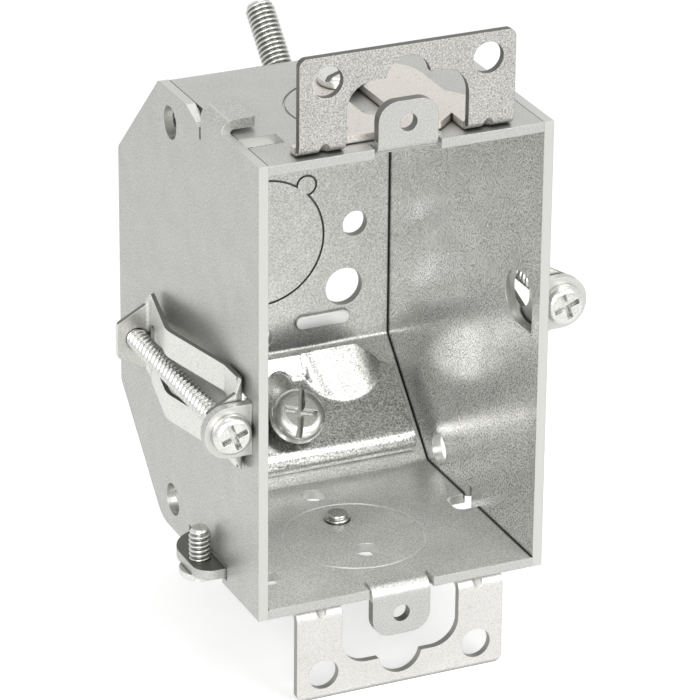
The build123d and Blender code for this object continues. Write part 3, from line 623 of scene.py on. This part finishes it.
def threaded_shank(mesh, start, direction, length, major, pitch):
    """Adds a closed threaded rod to the mesh, from start along direction."""
    along = Vector(direction).normalized()
    side = along.orthogonal().normalized()
    other = along.cross(side)
    minor = major - THREAD_DEPTH * pitch
    groove = mesh.verts.layers.float.new("groove_mm")
    rows = int(length / pitch * STEPS_PER_PITCH)
    rings = []
    for row in range(rows + 1):
        height = length * row / rows
        share = min(1.0, (length - height) / (RUN_OUT_TURNS * pitch))
        ring = []
        for step in range(STEPS_ROUND):
            angle = 2 * math.pi * step / STEPS_ROUND
            full = thread_radius(height / pitch - step / STEPS_ROUND, major, minor)
            radius = minor + (full - minor) * share
            spot = side * math.cos(angle) + other * math.sin(angle)
            vert = mesh.verts.new(Vector(start) + (along * height + spot * radius) * MM)
            vert[groove] = share * (major - full)
            ring.append(vert)
        rings.append(ring)
    for lower, upper in zip(rings, rings[1:]):
        for step in range(STEPS_ROUND):
            after = (step + 1) % STEPS_ROUND
            face = mesh.faces.new((lower[step], lower[after], upper[after], upper[step]))
            face.smooth = True
    mesh.faces.new(list(reversed(rings[0])))
    mesh.faces.new(rings[-1])


def threaded_screw(node_name, size):
    """The solid screw's head with a real thread in place of its plain shank."""
    major, pitch = size
    joint = joints[node_name + "_turn"]
    origin = Vector(joint["pos_m"])
    out = Vector(joint["axis"]).normalized()
    mesh = bmesh.new()
    mesh.from_mesh(nodes[node_name].data)
    bmesh.ops.remove_doubles(mesh, verts=mesh.verts, dist=WELD * MM)

    def height(vert):
        return (vert.co - origin).dot(out)

    def distance(vert):
        return (vert.co - origin - out * height(vert)).length

    shank_edge = max(height(v) for v in mesh.verts if abs(distance(v) - major * MM) < NEAR * MM)
    shank_end = min(height(v) for v in mesh.verts)
    shank = [f for f in mesh.faces
             if all(height(v) < shank_edge + NEAR * MM for v in f.verts)
             and all(distance(v) < (major + NEAR) * MM for v in f.verts)]
    bmesh.ops.delete(mesh, geom=shank, context="FACES")
    bmesh.ops.holes_fill(mesh, edges=[e for e in mesh.edges if e.is_boundary])
    loose = [v for v in mesh.verts if not v.link_faces]
    bmesh.ops.delete(mesh, geom=loose, context="VERTS")
    top = shank_edge + HEAD_OVERLAP * MM
    threaded_shank(mesh, origin + out * top, -out, (top - shank_end) / MM, major, pitch)
    piece = piece_from(mesh, node_name + "_threaded")
    piece.data.materials.append(bright_zinc)
    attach(piece, joint["child"])
    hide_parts(node_name)


def place_camera():
    """Long lens from the upper left, at the photograph's angle."""
    lens = bpy.data.cameras.new("camera")
    lens.lens = 233.5
    lens.sensor_width = 36.0
    lens.clip_start = 0.05
    lens.clip_end = 20.0
    camera = bpy.data.objects.new("camera", lens)
    right = Vector((0.91091, -0.41251, 0.00857))
    up = Vector((0.16342, 0.3798, 0.91052))
    back = Vector((-0.37885, -0.82801, 0.41337))
    turn = Matrix((right, up, back)).transposed().to_4x4()
    camera.matrix_world = Matrix.Translation((-0.27272, -0.57552, 0.29300)) @ turn
    bpy.context.scene.collection.objects.link(camera)
    bpy.context.scene.camera = camera


def area_light(name, place, aim, size, power):
    """A soft square lamp aimed at a point."""
    lamp = bpy.data.lights.new(name, "AREA")
    lamp.shape = "RECTANGLE"
    lamp.size = lamp.size_y = size
    lamp.energy = power
    holder = bpy.data.objects.new(name, lamp)
    holder.location = place
    holder.rotation_euler = (Vector(aim) - Vector(place)).to_track_quat("-Z", "Y").to_euler()
    bpy.context.scene.collection.objects.link(holder)


def light_studio():
    """White room, two soft lamps in front and one above."""
    world = bpy.data.worlds.new("studio")
    world.use_nodes = True
    tree = world.node_tree
    tree.nodes.clear()
    plain = add_node(tree, "ShaderNodeBackground", {"Color": (1, 1, 1, 1), "Strength": ROOM_LIGHT})
    white = add_node(tree, "ShaderNodeBackground", {"Color": (1, 1, 1, 1), "Strength": 1.0})
    both = add_node(tree, "ShaderNodeMixShader", {
        0: shown_to_eye(tree), 1: plain.outputs[0], 2: white.outputs[0]})
    add_node(tree, "ShaderNodeOutputWorld", {"Surface": both.outputs[0]})
    bpy.context.scene.world = world
    area_light("left_softbox", (-0.55, -0.75, 0.30), (0, 0, 0), 0.7, 7.0)
    area_light("right_softbox", (0.40, -0.78, 0.45), (0, 0.03, 0), 0.6, 4.0)
    area_light("top_softbox", (0.1, 0.1, 0.8), (0, 0.03, 0), 0.7, 1.6)


def floor_paint():
    """Matt pale paint that reads as white, keeps the shadow and runs out into the white of the room."""
    material, tree = new_material("floor_paint")
    grain = add_node(tree, "ShaderNodeTexNoise", {"Scale": 40.0}).outputs["Fac"]
    tone = add_node(tree, "ShaderNodeMapRange", {"Value": grain, "To Min": 0.80, "To Max": 0.82})
    matt = add_node(tree, "ShaderNodeBsdfDiffuse", {"Color": tone.outputs["Result"]})
    glow = add_node(tree, "ShaderNodeEmission", {"Color": (1, 1, 1, 1), "Strength": ROOM_LIGHT})
    lit = add_node(tree, "ShaderNodeAddShader", {0: matt.outputs[0], 1: glow.outputs[0]})
    white = add_node(tree, "ShaderNodeEmission", {"Color": (1, 1, 1, 1), "Strength": 1.0})
    place = add_node(tree, "ShaderNodeTexCoord").outputs["Object"]
    away = add_node(tree, "ShaderNodeVectorMath", {0: place}, operation="LENGTH").outputs["Value"]
    fade = add_node(tree, "ShaderNodeMapRange", {
        "Value": away, "From Min": FLOOR_FADE[0], "From Max": FLOOR_FADE[1]}).outputs["Result"]
    faded = add_node(tree, "ShaderNodeMixShader", {0: fade, 1: lit.outputs[0], 2: white.outputs[0]})
    both = add_node(tree, "ShaderNodeMixShader", {
        0: shown_to_eye(tree), 1: matt.outputs[0], 2: faded.outputs[0]})
    add_node(tree, "ShaderNodeOutputMaterial", {"Surface": both.outputs[0]})
    return material


def lay_floor():
    """A wide floor under the lowest point of the box."""
    low = cad_low.z
    data = bpy.data.meshes.new("floor")
    corners = [(-FLOOR_HALF, -FLOOR_HALF, low), (FLOOR_HALF, -FLOOR_HALF, low),
               (FLOOR_HALF, FLOOR_HALF, low), (-FLOOR_HALF, FLOOR_HALF, low)]
    data.from_pydata(corners, [], [(0, 1, 2, 3)])
    data.materials.append(floor_paint())
    floor = bpy.data.objects.new("floor", data)
    bpy.context.scene.collection.objects.link(floor)


finish_sheet_pieces()
for screw, screw_size in SCREWS.items():
    threaded_screw(screw, screw_size)
pressed_clamp("top_cable_clamp", "top_clamp", 1)
pressed_clamp("bottom_cable_clamp", "bottom_clamp", -1)
place_camera()
light_studio()
lay_floor()

bpy.context.scene.view_settings.view_transform = "Standard"
